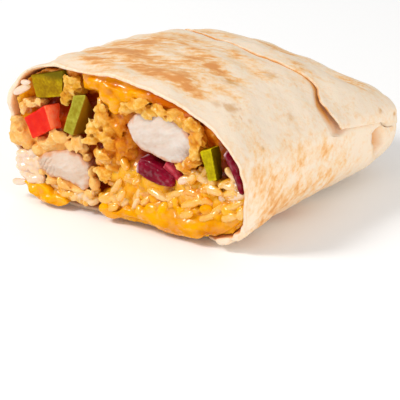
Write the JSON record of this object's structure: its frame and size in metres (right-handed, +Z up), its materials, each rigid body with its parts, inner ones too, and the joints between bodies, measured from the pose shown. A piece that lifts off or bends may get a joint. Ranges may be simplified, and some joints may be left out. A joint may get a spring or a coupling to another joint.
{
  "type": "burrito half",
  "caption": "Half of a grilled, flattened burrito, cut across to show fried chicken, rice, melted cheese, avocado, tomato and red onion in a flour tortilla.",
  "frame": {"origin": "on the resting surface, under the middle of the half's bounding box", "axes": "+Z up, -Y out of the cut face, +Y towards the folded end, +X to the right along the cut face"},
  "size_m": [0.0863, 0.0808, 0.0458],
  "materials": {
    "tortilla": "soft matte flour tortilla with toasted patches",
    "rice": "moist cooked rice, partly stained yellow",
    "cheese": "glossy melted cheese",
    "chicken": "craggy fried batter over pale meat",
    "avocado": "smooth moist avocado",
    "tomato": "wet diced tomato",
    "onion": "glossy cooked red onion"
  },
  "bodies": {
    "root": {"tortilla_wrap": "tortilla", "rice_filling": "rice", "melted_cheese_top": "cheese", "melted_cheese_bottom": "cheese", "melted_cheese_left": "cheese", "chicken_centre": "chicken", "chicken_left": "chicken", "fried_crumb_top": "chicken", "fried_crumb_left": "chicken", "avocado_1": "avocado", "avocado_2": "avocado", "avocado_3": "avocado", "tomato_1": "tomato", "red_onion_1": "onion", "red_onion_2": "onion", "red_onion_3": "onion"}
  },
  "joints": []
}
